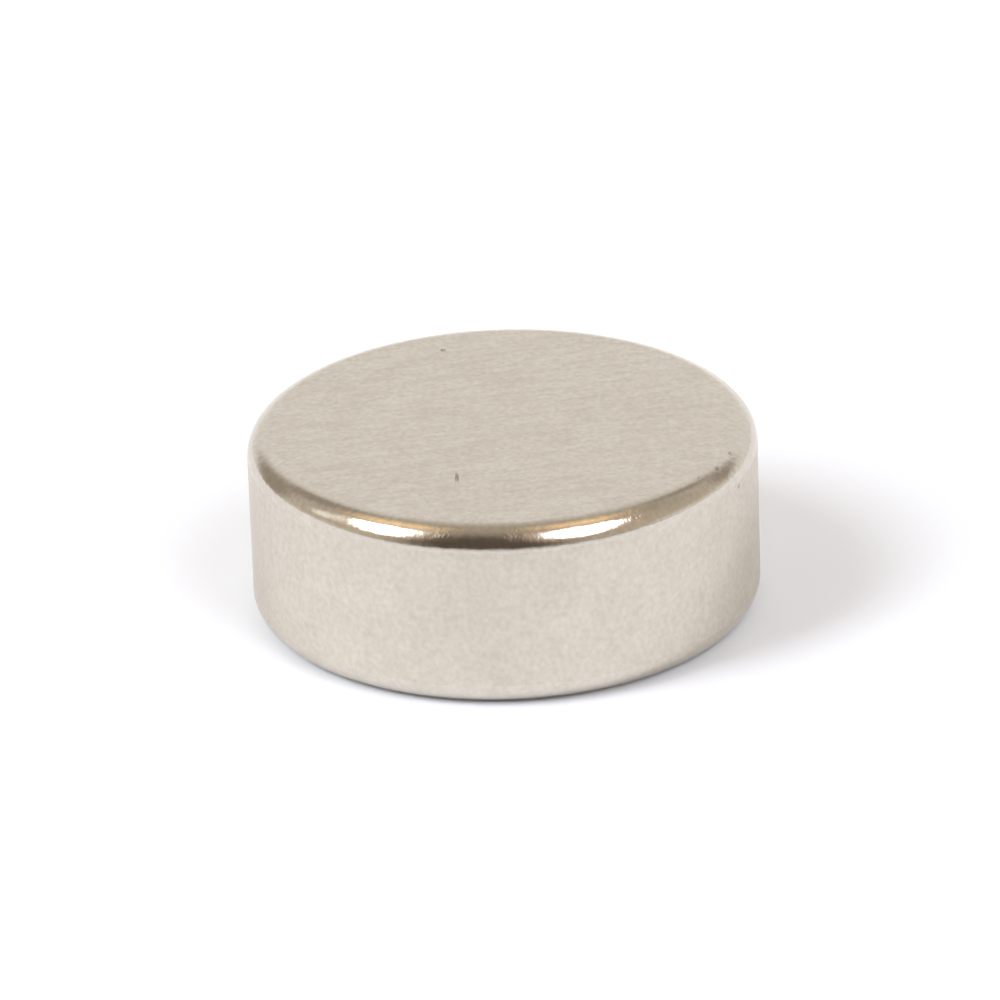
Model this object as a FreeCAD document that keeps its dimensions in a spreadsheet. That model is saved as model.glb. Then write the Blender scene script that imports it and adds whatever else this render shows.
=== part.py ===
import FreeCAD, Part
import math
import os
import Sketcher

# Disc magnet: one solid disc of sintered magnet powder, pressed, ground flat on both faces
# and round on its side, tumbled until both rims are rounded, then plated all over.
# Millimetres. +Z is the disc's axis, and the origin is the centre of its lower face.

NODE = "magnet_disc"

# Each driving size: its alias in the sheet, its value in millimetres or degrees, and what it is.
SIZES = [
    ("diameter", 8.0, "across the ground side"),
    ("thickness", 3.0, "between the two flat faces"),
    ("edge_radius", 0.38, "rounding of both rims"),
    ("nick_length", 0.46, "knock mark in the upper face, along its run"),
    ("nick_width", 0.055, "knock mark, across its run at the surface"),
    ("nick_depth", 0.02, "knock mark, at its deepest"),
    ("nick_reach", 2.15, "from the disc's axis to the middle of the mark"),
    ("nick_bearing", 250.5, "where the mark lies round the axis, from +X"),
    ("nick_run", 91.0, "which way the mark runs, from +X"),
]


def make_sheet(doc):
    """The spreadsheet that holds every driving size under its own alias."""
    sheet = doc.addObject("Spreadsheet::Sheet", "sizes")
    for row, (alias, value, meaning) in enumerate(SIZES, start=1):
        sheet.set(f"A{row}", alias)
        sheet.set(f"B{row}", str(value))
        sheet.set(f"C{row}", meaning)
        sheet.setAlias(f"B{row}", alias)
    doc.recompute()
    return sheet


def origin_plane(body, role):
    """The body's own origin plane with this role."""
    return next(plane for plane in body.Origin.OriginFeatures if plane.Role == role)


def add_blank(body):
    """The pressed and ground blank: a round sketch on the lower face, padded up."""
    outline = body.newObject("Sketcher::SketchObject", "outline")
    outline.AttachmentSupport = [(origin_plane(body, "XY_Plane"), "")]
    outline.MapMode = "FlatFace"
    circle = Part.Circle(FreeCAD.Vector(0, 0, 0), FreeCAD.Vector(0, 0, 1), 1.0)
    rim = outline.addGeometry(circle, False)
    outline.addConstraint(Sketcher.Constraint("Coincident", rim, 3, -1, 1))
    across = outline.addConstraint(Sketcher.Constraint("Diameter", rim, 2.0))
    outline.setExpression(f"Constraints[{across}]", "sizes.diameter")
    blank = body.newObject("PartDesign::Pad", "blank")
    blank.Profile = outline
    blank.setExpression("Length", "sizes.thickness")
    return blank


def round_edges(shape):
    """Names of the shape's closed round edges: the blank's upper and lower rims."""
    return [f"Edge{number}" for number, edge in enumerate(shape.Edges, start=1)
            if isinstance(edge.Curve, Part.Circle) and edge.isClosed()]


def add_rims(body, blank):
    """Both rims, rounded by tumbling."""
    rims = body.newObject("PartDesign::Fillet", "rims")
    rims.Base = (blank, round_edges(blank.Shape))
    rims.setExpression("Radius", "sizes.edge_radius")
    return rims


def add_nick(body):
    """The knock mark: half an ellipsoid sunk into the upper face, its middle on the surface."""
    nick = body.newObject("PartDesign::SubtractiveEllipsoid", "nick")
    nick.AttachmentSupport = [(origin_plane(body, "XY_Plane"), "")]
    nick.MapMode = "FlatFace"
    nick.setExpression("Radius1", "sizes.nick_depth")
    nick.setExpression("Radius2", "sizes.nick_length / 2")
    nick.setExpression("Radius3", "sizes.nick_width / 2")
    offset = "AttachmentOffset.Base"
    nick.setExpression(f"{offset}.x", "sizes.nick_reach * cos(sizes.nick_bearing * 1 deg)")
    nick.setExpression(f"{offset}.y", "sizes.nick_reach * sin(sizes.nick_bearing * 1 deg)")
    nick.setExpression(f"{offset}.z", "sizes.thickness")
    nick.setExpression("AttachmentOffset.Rotation.Angle", "sizes.nick_run * 1 deg")
    return nick


def check(doc, solids):
    """Stop if any object failed, or any sub-part's shape is missing or unsound."""
    for item in doc.Objects:
        if {"Invalid", "Error"} & set(item.State):
            raise RuntimeError(f"{item.Name} did not recompute: {item.State}")
    for body in solids:
        if body.Shape.isNull() or not body.Shape.isValid() or len(body.Shape.Solids) != 1:
            raise RuntimeError(f"{body.Label} is not one sound solid")


doc = FreeCAD.newDocument("disc_magnet")
sheet = make_sheet(doc)

magnet = doc.addObject("PartDesign::Body", NODE)
magnet.Label = NODE
magnet.Placement = FreeCAD.Placement()
blank = add_blank(magnet)
doc.recompute()
rims = add_rims(magnet, blank)
doc.recompute()
nick = add_nick(magnet)
doc.recompute()
check(doc, [magnet])

half_ellipsoid = math.pi / 6 * sheet.nick_length * sheet.nick_width * sheet.nick_depth
removed = rims.Shape.cut(nick.Shape).Volume
if abs(removed - half_ellipsoid) > 0.01 * half_ellipsoid:
    raise RuntimeError(f"the nick took {removed:.6f} cubic millimetres, not {half_ellipsoid:.6f}")

os.makedirs("parts", exist_ok=True)
magnet.Shape.exportStep(f"parts/{magnet.Label}.step")
print(f"{magnet.Label}: {magnet.Shape.Volume:.4f} cubic millimetres")
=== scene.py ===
import math

import bmesh
import bpy
from mathutils import Matrix, Vector, noise


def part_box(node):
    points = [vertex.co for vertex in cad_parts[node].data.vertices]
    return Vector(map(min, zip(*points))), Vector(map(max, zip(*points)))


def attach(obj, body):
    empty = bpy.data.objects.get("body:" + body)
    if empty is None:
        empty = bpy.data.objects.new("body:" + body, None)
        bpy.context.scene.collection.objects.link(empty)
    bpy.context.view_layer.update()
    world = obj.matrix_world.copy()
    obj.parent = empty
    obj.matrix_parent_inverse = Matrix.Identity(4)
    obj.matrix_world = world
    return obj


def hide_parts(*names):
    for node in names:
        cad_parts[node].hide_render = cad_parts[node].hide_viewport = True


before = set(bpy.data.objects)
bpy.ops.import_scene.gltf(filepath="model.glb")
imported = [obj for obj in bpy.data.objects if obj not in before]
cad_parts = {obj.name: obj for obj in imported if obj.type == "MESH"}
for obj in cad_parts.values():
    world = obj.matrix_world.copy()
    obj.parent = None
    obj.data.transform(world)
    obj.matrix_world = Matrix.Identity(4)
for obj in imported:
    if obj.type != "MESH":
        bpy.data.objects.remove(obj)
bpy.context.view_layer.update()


# ---------------------------------------------------------------- the magnet disc
# One disc of sintered magnet powder, pressed, then ground flat on both faces and round on
# its side. Tumbling among abrasive stones rounds and polishes both rims, and a bright nickel
# plating covers it all over. Knocks from other magnets have left a few small marks in it.
MM = 0.001
NODE = "magnet_disc"
low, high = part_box(NODE)
RADIUS = (high[1] - low[1]) / 2
THICKNESS = high[2] - low[2]
EDGE_RADIUS = 0.38 * MM
RIM_CENTRE = RADIUS - EDGE_RADIUS
RIM_LEVEL = THICKNESS - EDGE_RADIUS

ROUND_STEPS = 960
RIM_STEPS = 14
SIDE_ROWS = 24
FLAT_BORDER = 0.02 * MM

# The hills that tumbling leaves on the rims: the distance between them and their height.
RIM_WAVES = ((0.90 * MM, 0.0050 * MM), (0.30 * MM, 0.0022 * MM))

# Creases steeper than this stay sharp, and facets larger than this are the ground faces.
SHARP_ANGLE = math.radians(30)
GROUND_AREA = 0.01 * MM * MM


def is_upright(edge):
    """Whether an edge runs from the lower half of the disc to the upper half."""
    return abs(edge.verts[0].co.z - edge.verts[1].co.z) > THICKNESS / 2


def disc_blank():
    """The ground cylinder, with both rims rounded and a narrow flat border inside each."""
    bm = bmesh.new()
    middle = Matrix.Translation((0, 0, THICKNESS / 2))
    bmesh.ops.create_cone(bm, cap_ends=True, segments=ROUND_STEPS, radius1=RADIUS,
                          radius2=RADIUS, depth=THICKNESS, matrix=middle)
    corners = [edge for edge in bm.edges if not is_upright(edge)]
    bmesh.ops.bevel(bm, geom=corners, offset=EDGE_RADIUS, offset_type="OFFSET",
                    segments=RIM_STEPS, profile=0.5, affect="EDGES", material=-1)
    caps = [face for face in bm.faces if len(face.verts) == ROUND_STEPS]
    bmesh.ops.inset_region(bm, faces=caps, thickness=FLAT_BORDER, use_even_offset=True)
    uprights = [edge for edge in bm.edges if is_upright(edge)]
    bmesh.ops.subdivide_edges(bm, edges=uprights, cuts=SIDE_ROWS - 1, use_grid_fill=True)
    return bm


def tumble(bm):
    """Leaves the rounded rims slightly uneven, as tumbling does, and never proud."""
    bm.normal_update()
    for vert in bm.verts:
        across = math.hypot(vert.co.x, vert.co.y)
        depth = min(vert.co.z, THICKNESS - vert.co.z)
        if across > RIM_CENTRE and depth < EDGE_RADIUS:
            share = math.sin(math.pi * min(1.0, (across - RIM_CENTRE) / EDGE_RADIUS))
            for length, height in RIM_WAVES:
                swell = noise.noise(vert.co / length) - 1
                vert.co += vert.normal * (share * height * swell / 2)


def on_skin(bearing, across, level, lean=0.0, run=0.0):
    """Where a mark sits: on the surface, one edge radius out from a point inside the disc."""
    return (Matrix.Rotation(math.radians(bearing), 4, "Z")
            @ Matrix.Translation((across, 0, level))
            @ Matrix.Rotation(math.radians(lean), 4, "Y")
            @ Matrix.Translation((0, 0, EDGE_RADIUS))
            @ Matrix.Rotation(math.radians(run - bearing), 4, "Z"))


# Each mark: its place on the skin, then its length, width and depth in millimetres. They are
# a knock, a scratch beside it, a dot, three pits on the rim and one pit on the side.
MARKS = (
    (on_skin(250.5, 2.15 * MM, RIM_LEVEL, run=91.0), (0.46, 0.055, 0.020)),
    (on_skin(248.3, 1.795 * MM, RIM_LEVEL, run=69.5), (0.23, 0.025, 0.0015)),
    (on_skin(106.9, 3.07 * MM, RIM_LEVEL), (0.070, 0.100, 0.018)),
    (on_skin(339.0, RIM_CENTRE, RIM_LEVEL, lean=25.0), (0.060, 0.090, 0.012)),
    (on_skin(330.4, RIM_CENTRE, RIM_LEVEL, lean=31.0), (0.085, 0.110, 0.014)),
    (on_skin(323.5, RIM_CENTRE, RIM_LEVEL, lean=21.0), (0.060, 0.080, 0.012)),
    (on_skin(335.5, RIM_CENTRE, 2.545 * MM, lean=90.0, run=335.5), (0.060, 0.080, 0.016)),
)
CUTTER_FINENESS = 4


def mark_cutter():
    """Long round bodies, one for each mark, that are taken out of the disc."""
    bm = bmesh.new()
    for place, (length, width, depth) in MARKS:
        half = Matrix.Diagonal((length * MM / 2, width * MM / 2, depth * MM, 1))
        bmesh.ops.create_icosphere(bm, subdivisions=CUTTER_FINENESS, radius=1,
                                   matrix=place @ half)
    mesh = bpy.data.meshes.new("mark_cutter")
    bm.to_mesh(mesh)
    bm.free()
    cutter = bpy.data.objects.new("mark_cutter", mesh)
    bpy.context.scene.collection.objects.link(cutter)
    return cutter


def cut_marks(piece):
    """Takes the marks out of the piece and keeps the result as its mesh."""
    cutter = mark_cutter()
    cut = piece.modifiers.new("marks", "BOOLEAN")
    cut.object = cutter
    cut.operation = "DIFFERENCE"
    cut.solver = "EXACT"
    bpy.context.view_layer.update()
    finished = piece.evaluated_get(bpy.context.evaluated_depsgraph_get())
    mesh = bpy.data.meshes.new_from_object(finished)
    mesh.name = piece.name
    piece.modifiers.clear()
    piece.data = mesh
    bpy.data.meshes.remove(cutter.data)


def add_node(tree, kind, inputs=None, **settings):
    """A node with its settings made and its inputs filled: sockets are linked, values set."""
    node = tree.nodes.new(kind)
    for name, value in settings.items():
        setattr(node, name, value)
    for key, value in (inputs or {}).items():
        if isinstance(value, bpy.types.NodeSocket):
            tree.links.new(value, node.inputs[key])
        else:
            node.inputs[key].default_value = value
    return node


def calc(tree, operation, *values):
    """The result of one step of arithmetic."""
    inputs = dict(enumerate(values))
    return add_node(tree, "ShaderNodeMath", inputs, operation=operation).outputs[0]


def ramp(tree, value, start, end, bottom=0.0, top=1.0):
    """A smooth change from bottom to top while the value goes from start to end."""
    inputs = {"Value": value, "From Min": start, "From Max": end,
              "To Min": bottom, "To Max": top}
    node = add_node(tree, "ShaderNodeMapRange", inputs, interpolation_type="SMOOTHSTEP")
    return node.outputs["Result"]


def blend(tree, factor, start, end):
    """The colour that lies between start and end."""
    inputs = {"Factor": factor, "A": start, "B": end}
    node = add_node(tree, "ShaderNodeMix", inputs, data_type="RGBA")
    return node.outputs["Result"]


def unevenness():
    """Node group: gentle hills and hollows, in millimetres, either side of nought."""
    group = bpy.data.node_groups.new("unevenness", "ShaderNodeTree")
    sockets = group.interface
    sockets.new_socket("Place", in_out="INPUT", socket_type="NodeSocketVector")
    for name in ("Wavelength", "Detail", "Height"):
        sockets.new_socket(name, in_out="INPUT", socket_type="NodeSocketFloat")
    sockets.new_socket("Height", in_out="OUTPUT", socket_type="NodeSocketFloat")
    given = add_node(group, "NodeGroupInput").outputs
    scale = calc(group, "DIVIDE", 1.0, given["Wavelength"])
    hills = add_node(group, "ShaderNodeTexNoise",
                     {"Vector": given["Place"], "Scale": scale, "Detail": given["Detail"]})
    level = calc(group, "SUBTRACT", hills.outputs["Fac"], 0.5)
    twice = calc(group, "MULTIPLY", level, given["Height"])
    height = calc(group, "MULTIPLY", twice, 2.0)
    add_node(group, "NodeGroupOutput", {"Height": height})
    return group


UNEVENNESS = unevenness()


def uneven(tree, place, wavelength, height, detail=1.0):
    """Hills and hollows at this distance from each other, up to this height."""
    inputs = {"Place": place, "Wavelength": wavelength, "Detail": detail, "Height": height}
    node = add_node(tree, "ShaderNodeGroup", inputs, node_tree=UNEVENNESS)
    return node.outputs["Height"]


# Relief of the plating: the distance between its hills and their height, in millimetres.
FACE_STREAKS = (0.15, 0.0015)
FACE_GRAIN = (0.045, 0.0007)
SIDE_GRAIN = (0.05, 0.0016)
SIDE_WAVES = (0.5, 0.005)
RIM_PEEL = (0.07, 0.0026)
RIM_GRAIN = (0.10, 0.0012)

# The grinding streaks run at this bearing, this much drawn out, and wander by this much.
GRIND_BEARING = math.radians(12)
GRIND_STRETCH = (0.14, 1, 1)
WANDER_SCALE = 2.2
WANDER = (0.16, 0.16, 0.0)

# Shades of the plating: the distance between lighter places, the change, and the detail.
# The side has this share of the face's speckle.
CLOUDS = (0.7, 0.36, 3.0)
SPECKLE = (0.09, 1.0, 2.0)
STREAK_TONE = (0.15, 0.6)
SIDE_SPECKLE = 0.8
DARK_NICKEL = (0.600, 0.548, 0.470, 1)
LIGHT_NICKEL = (0.720, 0.670, 0.590, 1)
EDGE_TINT = (0.92, 0.91, 0.90, 1)

# Roughness of the polished rims and of the ground parts. The side is rougher by this much,
# and it fades out over this many millimetres of the rim.
POLISHED = 0.13
GROUND = 0.27
SIDE_ROUGHER = 0.10
SIDE_ROUGHER_FADE = 0.10
ROUGHNESS_DRIFT = (0.6, 0.04)

# How far the finish of a ground part fades in before its edge and past it, in millimetres.
FACE_FADE_IN = 0.02
FACE_FADE_OUT = 0.04
SIDE_FADE = 0.01

# The marks are painted darker and less metallic: strongest in the deep end of the knock, fainter
# in the dot and the pits.
MARK_DARKENING_COLOUR = (0.16, 0.135, 0.115, 1)
MARK_DARKENING_ROUGHER = 0.3
STRONG_MARK_DARKENING = (on_skin(250.0, 2.09 * MM, RIM_LEVEL, run=91.0), (0.36, 0.060, 0.030), 1.0)
FAINT_MARK_DARKENING = (0.6, 0.5, 0.75, 0.45, 0.35)
MARK_DARKENING_SPREAD = 1.5
MARK_DARKENING_DEPTH = 2.5
MARK_DARKENING_CORE = 0.4
MARK_DARKENING_END = 1.2

# Faint copper-coloured tints on the side: how far each reaches, in millimetres, how strong.
COPPER = (0.60, 0.45, 0.32, 1)
TINT_REACH = 0.17
TINT_STRENGTH = 0.16
TINTS = tuple(on_skin(bearing, RIM_CENTRE, level * MM, lean=90.0) for bearing, level in (
    (273.1, 1.29), (293.4, 0.89), (317.9, 1.10), (280.5, 1.02), (298.5, 1.03), (237.5, 2.21)))

# Stretches of the rim that the stones left pitted.
PEEL_REACH = 0.24
PITTED = tuple(on_skin(bearing, RIM_CENTRE, RIM_LEVEL, lean=50.0)
               for bearing in (255.5, 271.5, 301.5))


def mark_darkening_bodies():
    """The darkening painted into the marks: where it lies, its size and its strength."""
    bodies = [STRONG_MARK_DARKENING]
    for (place, (length, width, depth)), strength in zip(MARKS[2:], FAINT_MARK_DARKENING):
        size = (MARK_DARKENING_SPREAD * length, MARK_DARKENING_SPREAD * width, MARK_DARKENING_DEPTH * depth)
        bodies.append((place, size, strength))
    return bodies


def darkened_marks(tree, place):
    """Mask: where the marks are painted darker."""
    darkening = None
    for skin, size, strength in mark_darkening_bodies():
        half = [size[0] / 2, size[1] / 2, size[2]]
        local = add_node(tree, "ShaderNodeMapping",
                         {"Vector": place, "Location": skin.translation / MM,
                          "Rotation": skin.to_euler(), "Scale": half}, vector_type="TEXTURE")
        reach = add_node(tree, "ShaderNodeVectorMath", {0: local.outputs[0]},
                         operation="LENGTH")
        spot = ramp(tree, reach.outputs["Value"], MARK_DARKENING_CORE, MARK_DARKENING_END, strength, 0.0)
        darkening = calc(tree, "MAXIMUM", darkening, spot) if darkening else spot
    return darkening


def near(tree, place, skins, reach):
    """Mask: 1 at each of these places on the skin, falling to 0 at this reach from it."""
    nearness = None
    for skin in skins:
        away = add_node(tree, "ShaderNodeVectorMath",
                        {0: place, 1: skin.translation / MM}, operation="DISTANCE")
        spot = ramp(tree, away.outputs["Value"], reach / 5, reach, 1.0, 0.0)
        nearness = calc(tree, "MAXIMUM", nearness, spot) if nearness else spot
    return nearness


def distances(tree, place):
    """How far out from the axis a place is, and how far from mid-height."""
    axes = add_node(tree, "ShaderNodeSeparateXYZ", {0: place}).outputs
    square = calc(tree, "ADD", calc(tree, "POWER", axes["X"], 2.0),
                  calc(tree, "POWER", axes["Y"], 2.0))
    middle = THICKNESS / MM / 2
    level = calc(tree, "ABSOLUTE", calc(tree, "SUBTRACT", axes["Z"], middle))
    return calc(tree, "SQRT", square), level


def along_grind(tree, place):
    """The place, drawn out along the slightly wandering grinding streaks."""
    drift = add_node(tree, "ShaderNodeTexNoise",
                     {"Vector": place, "Scale": WANDER_SCALE, "Detail": 1.0})
    wander = add_node(tree, "ShaderNodeVectorMath", {0: drift.outputs["Color"], 1: WANDER},
                      operation="MULTIPLY").outputs[0]
    wavy = add_node(tree, "ShaderNodeVectorMath", {0: place, 1: wander}).outputs[0]
    turned = add_node(tree, "ShaderNodeMapping",
                      {"Vector": wavy, "Rotation": (0, 0, -GRIND_BEARING)}).outputs[0]
    return add_node(tree, "ShaderNodeMapping",
                    {"Vector": turned, "Scale": GRIND_STRETCH}).outputs[0]


def plating():
    """Bright nickel over ground faces, a ground side and tumbled rims."""
    material = bpy.data.materials.new("nickel_plating")
    material.use_nodes = True
    tree = material.node_tree
    tree.nodes.clear()
    place = add_node(tree, "ShaderNodeMapping",
                     {"Vector": add_node(tree, "ShaderNodeTexCoord").outputs["Object"],
                      "Scale": (1 / MM, 1 / MM, 1 / MM)}).outputs[0]
    grind = along_grind(tree, place)

    across, level = distances(tree, place)
    face_edge = RIM_CENTRE / MM
    side_edge = RIM_LEVEL / MM - THICKNESS / MM / 2
    on_face = ramp(tree, across, face_edge - FACE_FADE_IN, face_edge + FACE_FADE_OUT, 1.0, 0.0)
    on_side = ramp(tree, level, side_edge - SIDE_FADE, side_edge + SIDE_FADE, 1.0, 0.0)
    ground = calc(tree, "MAXIMUM", on_face, on_side)
    on_rim = calc(tree, "SUBTRACT", 1.0, ground)

    face_height = calc(tree, "ADD", uneven(tree, grind, *FACE_STREAKS),
                       uneven(tree, place, *FACE_GRAIN))
    side_height = calc(tree, "ADD", uneven(tree, place, *SIDE_GRAIN),
                       uneven(tree, place, *SIDE_WAVES))
    peel = calc(tree, "MULTIPLY", near(tree, place, PITTED, PEEL_REACH),
                uneven(tree, place, *RIM_PEEL))
    rim_height = calc(tree, "ADD", peel, uneven(tree, place, *RIM_GRAIN))
    height = calc(tree, "MULTIPLY", on_face, face_height)
    height = calc(tree, "MULTIPLY_ADD", on_side, side_height, height)
    height = calc(tree, "MULTIPLY_ADD", on_rim, rim_height, height)
    bump = add_node(tree, "ShaderNodeBump", {"Height": height, "Distance": MM})

    side_speckle = ramp(tree, on_face, 0.0, 1.0, SIDE_SPECKLE, 1.0)
    speckle = calc(tree, "MULTIPLY", side_speckle, uneven(tree, place, *SPECKLE))
    tone = calc(tree, "ADD", uneven(tree, place, *CLOUDS), speckle)
    tone = calc(tree, "MULTIPLY_ADD", on_face, uneven(tree, grind, *STREAK_TONE), tone)
    colour = blend(tree, calc(tree, "ADD", tone, 0.5), DARK_NICKEL, LIGHT_NICKEL)
    # Painted darkening in the marks, which also takes away from the metal.
    mark_darkening = darkened_marks(tree, place)
    colour = blend(tree, mark_darkening, colour, MARK_DARKENING_COLOUR)
    tint = calc(tree, "MULTIPLY", near(tree, place, TINTS, TINT_REACH), TINT_STRENGTH)
    colour = blend(tree, tint, colour, COPPER)

    roughness = ramp(tree, ground, 0.0, 1.0, POLISHED, GROUND)
    near_side = ramp(tree, level, side_edge, side_edge + SIDE_ROUGHER_FADE, 1.0, 0.0)
    roughness = calc(tree, "MULTIPLY_ADD", near_side, SIDE_ROUGHER, roughness)
    roughness = calc(tree, "ADD", roughness, uneven(tree, place, *ROUGHNESS_DRIFT))
    roughness = calc(tree, "MULTIPLY_ADD", mark_darkening, MARK_DARKENING_ROUGHER, roughness)

    shader = add_node(tree, "ShaderNodeBsdfPrincipled",
                      {"Base Color": colour, "Metallic": calc(tree, "SUBTRACT", 1.0, mark_darkening),
                       "Roughness": roughness, "Specular Tint": EDGE_TINT,
                       "Normal": bump.outputs["Normal"]})
    add_node(tree, "ShaderNodeOutputMaterial", {"Surface": shader.outputs[0]})
    return material


disc_mesh = bpy.data.meshes.new("magnet_disc_plated")
blank = disc_blank()
tumble(blank)
bmesh.ops.recalc_face_normals(blank, faces=blank.faces)
blank.to_mesh(disc_mesh)
blank.free()
disc = bpy.data.objects.new("magnet_disc_plated", disc_mesh)
bpy.context.scene.collection.objects.link(disc)
cut_marks(disc)
disc.data.materials.append(plating())
disc.data.shade_smooth()
disc.data.set_sharp_from_angle(angle=SHARP_ANGLE)
for polygon in disc.data.polygons:
    polygon.use_smooth = polygon.area < GROUND_AREA
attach(disc, "root")
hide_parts(NODE)


# ---------------------------------------------------------------- the table
# A wide sheet of white paper that the disc lies on. It lies flat under its own weight, a
# hair below the disc, and is painted darker towards the front: a painted shade where it runs out
# of the light.
PAPER_REACH = 600 * MM
PAPER_GAP = 0.002 * MM
PAPER_ROUGHNESS = 0.9
PAPER_LIT = (0.88, 0.93, 0.985, 1)
PAPER_PAINTED_SHADE = (0.36, 0.36, 0.37, 1)
PAINTED_SHADE_FROM = -15 * MM
PAINTED_SHADE_TO = -32 * MM

paper_mesh = bpy.data.meshes.new("paper")
sheet = bmesh.new()
bmesh.ops.create_grid(sheet, x_segments=1, y_segments=1, size=PAPER_REACH,
                      matrix=Matrix.Translation((0, 0, low[2] - PAPER_GAP)))
sheet.to_mesh(paper_mesh)
sheet.free()
paper = bpy.data.objects.new("paper", paper_mesh)
bpy.context.scene.collection.objects.link(paper)


def paper_white():
    """White paper, with a painted shade that darkens it towards the front, where it runs out of
    the light.
    """
    material = bpy.data.materials.new("white_paper")
    material.use_nodes = True
    tree = material.node_tree
    tree.nodes.clear()
    place = add_node(tree, "ShaderNodeTexCoord").outputs["Object"]
    axes = add_node(tree, "ShaderNodeSeparateXYZ", {0: place}).outputs
    # Painted shade: the paper's colour darkens towards the front.
    colour = blend(tree, ramp(tree, axes["Y"], PAINTED_SHADE_FROM, PAINTED_SHADE_TO), PAPER_LIT, PAPER_PAINTED_SHADE)
    shader = add_node(tree, "ShaderNodeBsdfPrincipled",
                      {"Base Color": colour, "Roughness": PAPER_ROUGHNESS})
    add_node(tree, "ShaderNodeOutputMaterial", {"Surface": shader.outputs[0]})
    return material


paper.data.materials.append(paper_white())


# ---------------------------------------------------------------- the light
# A warm grey room round the table, painted on the surroundings: two soft boxes overhead,
# a brightly lit back, dim stands at both sides and a dark corner on the camera's side.
# Its plan is round: the zenith is the middle, +Y is up, and degrees from the zenith go outwards.
WHITE_SWEEP = (0.94, 0.92, 0.91, 1)
NEAR_WALL = (0.48, 0.43, 0.355, 1)
FAR_WALL = (0.61, 0.535, 0.44, 1)
DIM_STAND = (0.41, 0.36, 0.30, 1)
PALE_CARD = (1.20, 1.18, 1.12, 1)
GLOW = (1.50, 1.06, 0.62, 1)
BRIGHT_BACK = (1.35, 1.33, 1.30, 1)
DARK_CORNER = (0.125, 0.098, 0.078, 1)
LEFT_EDGE = (0.72, 0.60, 0.45, 1)
RIGHT_EDGE = (0.62, 0.48, 0.38, 1)
LEFT_LAMP = (9.5, 9.5, 10.1, 1)
RIGHT_LAMP = (4.0, 4.0, 4.3, 1)
BACKDROP = (1, 1, 1, 1)

# The walls: centre, half size and softness of edge. Round the zenith it is the near wall.
NEAR_WALL_PATCH = ((0, 0), (52, 52), 0.45)
SIDE_WALLS_PATCH = ((-2, 0), (84, 300), 0.12)
BACK_WALL_PATCH = ((0, -60), (300, 96), 0.28)

# What stands in the room: centre and half size on the plan, turn, softness of edge, colour.
PATCHES = (
    ((-56, 46), (25, 17), 20, 0.5, DIM_STAND),
    ((54, 36), (19, 10), -15, 0.6, DIM_STAND),
    ((-32, 32), (15, 12), 0, 0.6, DIM_STAND),
    ((29, 30), (10, 8), 0, 0.6, DIM_STAND),
    ((-12, -74), (48, 52), 0, 0.5, DARK_CORNER),
    ((-61, 1), (12, 9), 0, 0.5, PALE_CARD),
    ((-26, 2), (10, 15), -20, 0.8, GLOW),
    ((18, -3), (9, 16), 15, 0.8, GLOW),
    ((0, 106), (70, 24), 0, 0.4, BRIGHT_BACK),
)

# The soft boxes: centre and half size on the plan, turn, colour of the rim and of the lamp.
SOFT_BOXES = (
    ((-44.5, -20), (20, 12.5), 52, LEFT_EDGE, LEFT_LAMP),
    ((30, -34), (23, 15.5), -76, RIGHT_EDGE, RIGHT_LAMP),
)
BOX_RIM = 9
BOX_RIM_SOFTNESS = 0.3
BOX_SOFTNESS = 0.08
BOX_CORNER = 2.5


def room_plan(tree, towards):
    """The direction's place on the plan, in degrees."""
    axes = add_node(tree, "ShaderNodeSeparateXYZ", {0: towards}).outputs
    from_zenith = calc(tree, "DEGREES", calc(tree, "ARCCOSINE", axes["Z"]))
    flat = add_node(tree, "ShaderNodeVectorMath", {0: towards, 1: (1, 1, 0)},
                    operation="MULTIPLY")
    unit = add_node(tree, "ShaderNodeVectorMath", {0: flat.outputs[0]}, operation="NORMALIZE")
    node = add_node(tree, "ShaderNodeVectorMath", {0: unit.outputs[0], "Scale": from_zenith},
                    operation="SCALE")
    return node.outputs[0]


def patch(tree, plan, centre, half_size, turn=0.0, edge=0.1, corner=2.0):
    """Mask: 1 inside a patch of the plan, falling to 0 across its soft edge. With a corner
    of 2 the patch is oval, and with more it gets squarer."""
    rotation = (0, 0, math.radians(turn))
    local = add_node(tree, "ShaderNodeMapping",
                     {"Vector": plan, "Location": (*centre, 0), "Rotation": rotation,
                      "Scale": (*half_size, 1)}, vector_type="TEXTURE").outputs[0]
    sides = add_node(tree, "ShaderNodeVectorMath", {0: local}, operation="ABSOLUTE").outputs[0]
    axes = add_node(tree, "ShaderNodeSeparateXYZ", {0: sides}).outputs
    along = calc(tree, "POWER", axes["X"], corner)
    across = calc(tree, "POWER", axes["Y"], corner)
    reach = calc(tree, "POWER", calc(tree, "ADD", along, across), 1 / corner)
    return ramp(tree, reach, 1 - edge, 1 + edge, 1.0, 0.0)


def soft_box(tree, below, plan, centre, half_size, turn, rim, lamp):
    """A lit panel with a warm rim, laid over what is below."""
    half_rim = tuple(size + BOX_RIM for size in half_size)
    edge = patch(tree, plan, centre, half_rim, turn, BOX_RIM_SOFTNESS, BOX_CORNER)
    lit = patch(tree, plan, centre, half_size, turn, BOX_SOFTNESS, BOX_CORNER)
    return blend(tree, lit, blend(tree, edge, below, rim), lamp)


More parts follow.
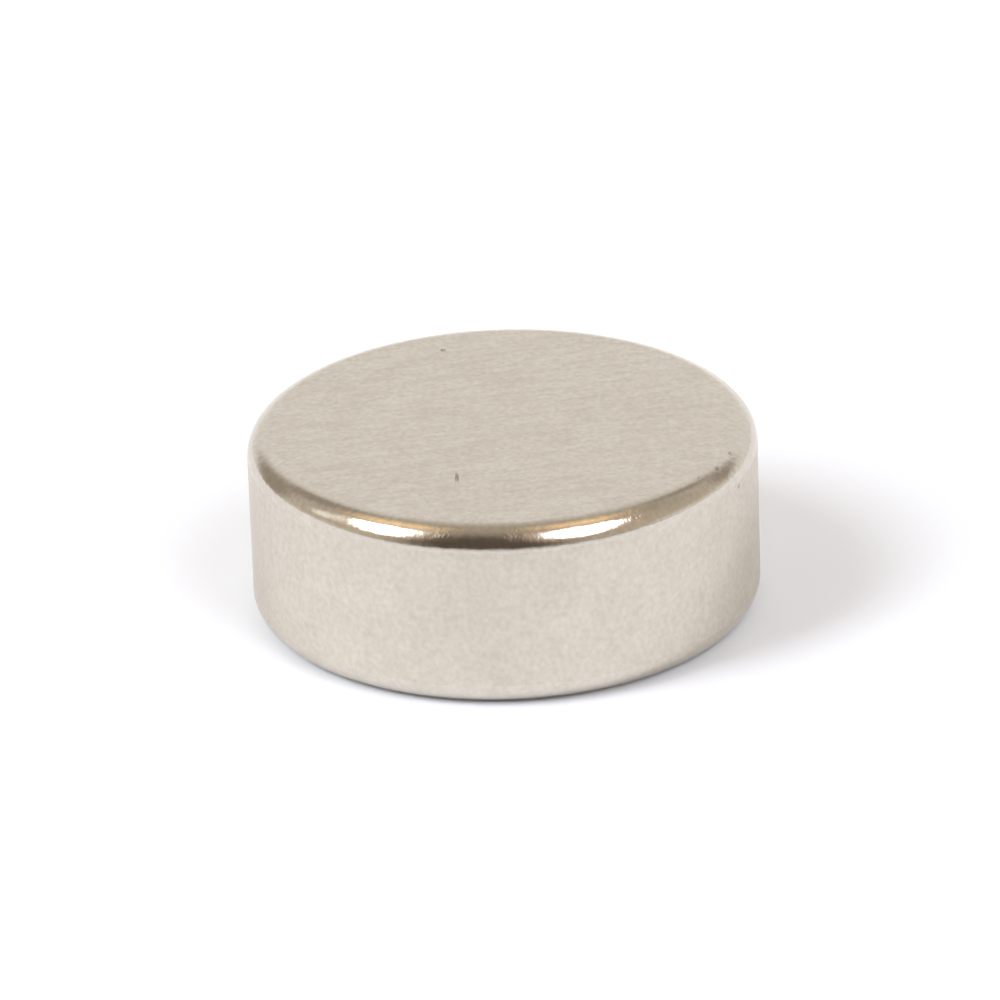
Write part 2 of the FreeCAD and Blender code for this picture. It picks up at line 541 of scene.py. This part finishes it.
def room():
    """The painted surroundings. The camera itself sees a plain white backdrop."""
    world = bpy.data.worlds.new("studio")
    world.use_nodes = True
    tree = world.node_tree
    tree.nodes.clear()
    towards = add_node(tree, "ShaderNodeTexCoord").outputs["Generated"]
    plan = room_plan(tree, towards)
    near_wall, side_walls, back_wall = (
        patch(tree, plan, centre, half_size, edge=edge)
        for centre, half_size, edge in (NEAR_WALL_PATCH, SIDE_WALLS_PATCH, BACK_WALL_PATCH))
    wall_colour = blend(tree, near_wall, FAR_WALL, NEAR_WALL)
    wall = calc(tree, "MULTIPLY", side_walls, back_wall)
    colour = blend(tree, wall, WHITE_SWEEP, wall_colour)
    for centre, half_size, turn, edge, shade in PATCHES:
        mask = patch(tree, plan, centre, half_size, turn, edge)
        colour = blend(tree, mask, colour, shade)
    for centre, half_size, turn, rim, lamp in SOFT_BOXES:
        colour = soft_box(tree, colour, plan, centre, half_size, turn, rim, lamp)
    seen = add_node(tree, "ShaderNodeLightPath").outputs["Is Camera Ray"]
    colour = blend(tree, seen, colour, BACKDROP)
    light = add_node(tree, "ShaderNodeBackground", {"Color": colour})
    add_node(tree, "ShaderNodeOutputWorld", {"Surface": light.outputs[0]})
    return world


bpy.context.scene.world = room()
bpy.context.scene.view_settings.view_transform = "Standard"


# ---------------------------------------------------------------- the camera
# Straight from the front and above, far off with a long lens, held very slightly tilted.
CAMERA_HEIGHT = math.radians(24.8)
CAMERA_TILT = math.radians(-2.0)
CAMERA_DISTANCE = 16 * 2 * RADIUS
LENS = 293
SENSOR_WIDTH = 36
NEAREST = 0.001
FARTHEST = 10
SHIFT_RIGHT = -0.0046
SHIFT_UP = 0.0105

camera = bpy.data.objects.new("camera", bpy.data.cameras.new("camera"))
bpy.context.scene.collection.objects.link(camera)
camera.data.lens = LENS
camera.data.sensor_width = SENSOR_WIDTH
camera.data.clip_start = NEAREST
camera.data.clip_end = FARTHEST
camera.data.shift_x = SHIFT_RIGHT
camera.data.shift_y = SHIFT_UP
back = Vector((0, -math.cos(CAMERA_HEIGHT), math.sin(CAMERA_HEIGHT)))
middle = Vector((0, 0, THICKNESS / 2))
tilt = Matrix.Rotation(CAMERA_TILT, 4, "Z")
turn = (-back).to_track_quat("-Z", "Y").to_matrix().to_4x4() @ tilt
camera.matrix_world = Matrix.Translation(middle + back * CAMERA_DISTANCE) @ turn
bpy.context.scene.camera = camera
